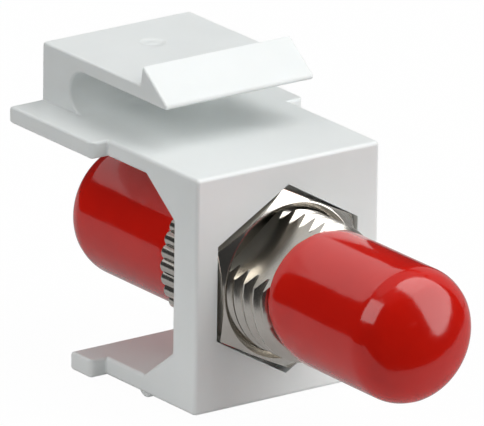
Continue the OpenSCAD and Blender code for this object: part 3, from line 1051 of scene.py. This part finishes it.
# %% Front cap
RIM = [(0, -5.45), (40, -5.0), (81, -4.37), (109, -4.07), (123, -3.92), (150, -3.88), (171, -3.93),
       (182, -4.10), (194, -4.40), (206, -4.78), (221, -5.06), (235, -5.35), (270, -5.6),
       (315, -5.65), (360, -5.45)]


def rim_depth(degrees):
    """Depth of the front cap's rim in that direction, eased between the table's entries."""
    for (a, low), (b, high) in zip(RIM, RIM[1:]):
        if a <= degrees <= b:
            share = (degrees - a) / (b - a)
            return low + (high - low) * share * share * (3 - 2 * share)


FRONT_TIP, FRONT_RIM = -15.57, -4.87
CAP_ROUND, FADE_FROM = 128, -9
front = turn(cap_section(FRONT_RIM - FRONT_TIP), CAP_ROUND)
shift(front, 0, FRONT_TIP, 0)
for vertex in front.verts:
    share = max(0, min(1, (vertex.co.y - FADE_FROM) / (FRONT_RIM - FADE_FROM)))
    bearing = math.degrees(math.atan2(vertex.co.z, vertex.co.x)) % 360
    vertex.co.y += (rim_depth(bearing) - FRONT_RIM) * share
soften(front, 3.1)
front_cap = place_object("front_vinyl_cap", front)
hand_over(front_cap, red_vinyl, sharp=50, weighted=False)
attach(front_cap, "front_cap")
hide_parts("front_dust_cap")

# %% [markdown]
# The rear cap has a level rim. It is the same section turned end for end,
# which turns the faces inside out, so its normals are made to point outwards
# once more.

# %% Rear cap
REAR_TIP, REAR_RIM = 19.37, 7.27
rear = turn(cap_section(REAR_TIP - REAR_RIM), CAP_ROUND)
for vertex in rear.verts:
    vertex.co.y = REAR_TIP - vertex.co.y
point_outwards(rear)
soften(rear, 9.4)
rear_cap = place_object("rear_vinyl_cap", rear)
hand_over(rear_cap, red_vinyl, sharp=50, weighted=False)
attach(rear_cap, "rear_cap")
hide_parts("rear_dust_cap")

# %% [markdown]
# ## Pieces that keep their solids
#
# The rear barrel, the bayonet pins, the holders and the sleeve have the right
# shape already. They only take their finish.

# %% Finishes on the solids
FINISHES = {"rear_barrel": nickel_plate, "front_bayonet_pins": nickel_plate,
            "rear_bayonet_pins": nickel_plate, "front_sleeve_holder": brass_turned,
            "rear_sleeve_holder": brass_turned, "alignment_sleeve": zirconia_ground}
for node, material in FINISHES.items():
    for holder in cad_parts[node].material_slots:
        holder.material = material
print(len(FINISHES), "solids dressed")

# %% [markdown]
# ## Floor
#
# A product picture on white: the object stands on a pale sheet of paper, cut
# so small that its edge stays out of the reflections on top of the caps. For
# the camera the sheet is almost plain white, with a small share of the real
# shading so that the shadow stays. In reflections it is a calm grey. Light
# Path tells the three cases apart inside the sheet's own material.

# %% Floor
SHEET_WIDTH, SHEET_LENGTH, SHEET_RIGHT, SHEET_BACK = 0.15, 0.19, 0.03, 0.071
FLOOR, PAPER_GAP = -0.0084, 0.00002
WHITE = (1, 1, 1)

sheet = bmesh.new()
bmesh.ops.create_grid(sheet, x_segments=1, y_segments=1, size=0.5)
bmesh.ops.scale(sheet, verts=sheet.verts[:], vec=(SHEET_WIDTH, SHEET_LENGTH, 1))
shift(sheet, SHEET_RIGHT, SHEET_BACK, FLOOR - PAPER_GAP)
floor = place_object("paper_sheet", sheet)
paper = bpy.data.materials.new("white_paper")
graph = Graph(paper)
fibre = graph.speckle(graph.position_mm(), 0.05, 3.0)
shaded = graph.add("ShaderNodeBsdfDiffuse", None,
                   {"Color": graph.between(fibre, (0.80, 0.80, 0.80), (0.82, 0.82, 0.82))})
seen, mirrored, through = graph.add(
    "ShaderNodeLightPath", out=("Is Camera Ray", "Is Glossy Ray", "Is Transmission Ray"))
glow = graph.add("ShaderNodeEmission", None,
                 {"Color": graph.between(seen, (0.32, 0.32, 0.32), WHITE), "Strength": 1.0})
share = seen * 0.98 + mirrored * 0.8 + through * 0.04
surface = graph.add("ShaderNodeMixShader", None, {0: share, 1: shaded, 2: glow})
graph.add("ShaderNodeOutputMaterial", None, {"Surface": surface})
floor.data.materials.append(paper)
floor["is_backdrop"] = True
print("paper sheet", SHEET_WIDTH, "by", SHEET_LENGTH, "m, lying at", round(FLOOR - PAPER_GAP, 5))

# %% [markdown]
# ## Lamps
#
# Six soft boxes light the picture. The tall round key lamp stands to the right
# in front and shows on the dome of the cap. A small lamp on the left shows as
# the bright square on the caps' shoulders. A low wide one behind gives the
# pale stripe along their upper side. The other three only lift the tops and
# the right side a little. Their strengths make the white plastic about as
# bright as in the photograph, and no face of it clips to white.

# %% Lamps
def softbox(name, azimuth, elevation, distance, width, height, brightness, shape="RECTANGLE"):
    """A flat lamp turned to the object. Its face shows at that brightness, where 1 is white."""
    lamp = bpy.data.lights.new(name, "AREA")
    lamp.shape, lamp.size, lamp.size_y = shape, width, height
    area = width * height * (math.pi / 4 if shape == "ELLIPSE" else 1)
    lamp.energy = brightness * math.pi * area
    holder = bpy.data.objects.new(name, lamp)
    facing = towards(math.radians(azimuth), math.radians(elevation))
    holder.matrix_world = (Matrix.Translation(facing * distance)
                           @ facing.to_track_quat("Z", "Y").to_matrix().to_4x4())
    bpy.context.collection.objects.link(holder)


softbox("key_lamp", 44, 38, 0.6, 0.50, 1.50, 2.75, "ELLIPSE")
softbox("front_top_lamp", 50, 60, 0.6, 0.50, 0.50, 0.45)
softbox("side_lamp", -88, 38, 0.5, 0.50, 0.30, 2.35)
softbox("rear_lamp", 182, 41, 0.6, 0.62, 0.26, 0.8)
softbox("top_lamp", 150, 74, 0.6, 0.80, 0.50, 0.25)
softbox("right_lamp", 105, 20, 0.5, 0.50, 0.45, 0.35)
print(len(bpy.data.lights), "lamps")

# %% [markdown]
# The room beyond the lamps is dark and only grows a little lighter overhead,
# which gives the nickel its black and white contrast. The camera itself sees
# a white background instead, in the same way as on the sheet.

# %% Room
world = bpy.data.worlds.new("dim_room")
bpy.context.scene.world = world
graph = Graph(world)
direction = graph.add("ShaderNodeTexCoord", out="Generated")
height = graph.add("ShaderNodeSeparateXYZ", None, {0: direction}, out=2)
room = graph.ramp(0.5 + 0.5 * height, [(0.5, 0.03), (0.8, 0.04), (1.0, 0.2)])
light = graph.add("ShaderNodeBackground", None, {"Color": room, "Strength": 1.0})
plain = graph.add("ShaderNodeBackground", None, {"Color": (*WHITE, 1), "Strength": 1.0})
seen = graph.add("ShaderNodeLightPath", out="Is Camera Ray")
surface = graph.add("ShaderNodeMixShader", None, {0: seen, 1: light, 2: plain})
graph.add("ShaderNodeOutputWorld", None, {"Surface": surface})
print("room light made of", len(world.node_tree.nodes), "nodes")

# %% [markdown]
# ## Colour and size
#
# Standard shows colours as they are written. The box of the visual model is
# kept beside that of the solids, since the finished pieces must stay inside
# the sizes that the solids were made to.

# %% Colour and size
bpy.context.scene.view_settings.view_transform = "Standard"
visual_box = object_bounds()
for corner in visual_box:
    print("visual model reaches", [round(v * 1000, 3) for v in corner], "mm")
